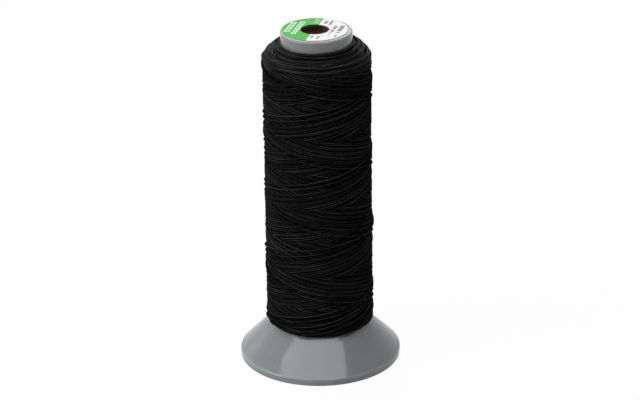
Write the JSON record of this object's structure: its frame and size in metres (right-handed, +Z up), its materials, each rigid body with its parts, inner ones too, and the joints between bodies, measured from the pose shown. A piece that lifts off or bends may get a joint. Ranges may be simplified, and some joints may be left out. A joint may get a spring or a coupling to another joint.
{
  "type": "spool of sewing thread",
  "caption": "Foot spool of cross-wound black bonded thread: a board tube between a conical moulded foot and a moulded end cap with a round printed paper label.",
  "frame": {"origin": "centre of the foot's base, on the surface that the spool stands on", "axes": "+Z up the spool's axis to the label; the dividing line of the label lies 16.5 degrees from the Y axis"},
  "size_m": [0.07, 0.07, 0.15],
  "materials": {
    "foot": "glossy moulded grey plastic",
    "board_tube": "spiral-wound kraft board",
    "cap": "glossy moulded grey plastic",
    "label": "coated paper, printed with one green and one white field",
    "thread": "bonded continuous-filament thread, low sheen",
    "outer_thread": "bonded continuous-filament thread, low sheen"
  },
  "bodies": {
    "root": {"foot": "foot", "winding_tube": "board_tube", "top_cap": "cap", "end_label": "label", "thread_package": "thread", "outer_winding": "outer_thread"}
  },
  "joints": []
}
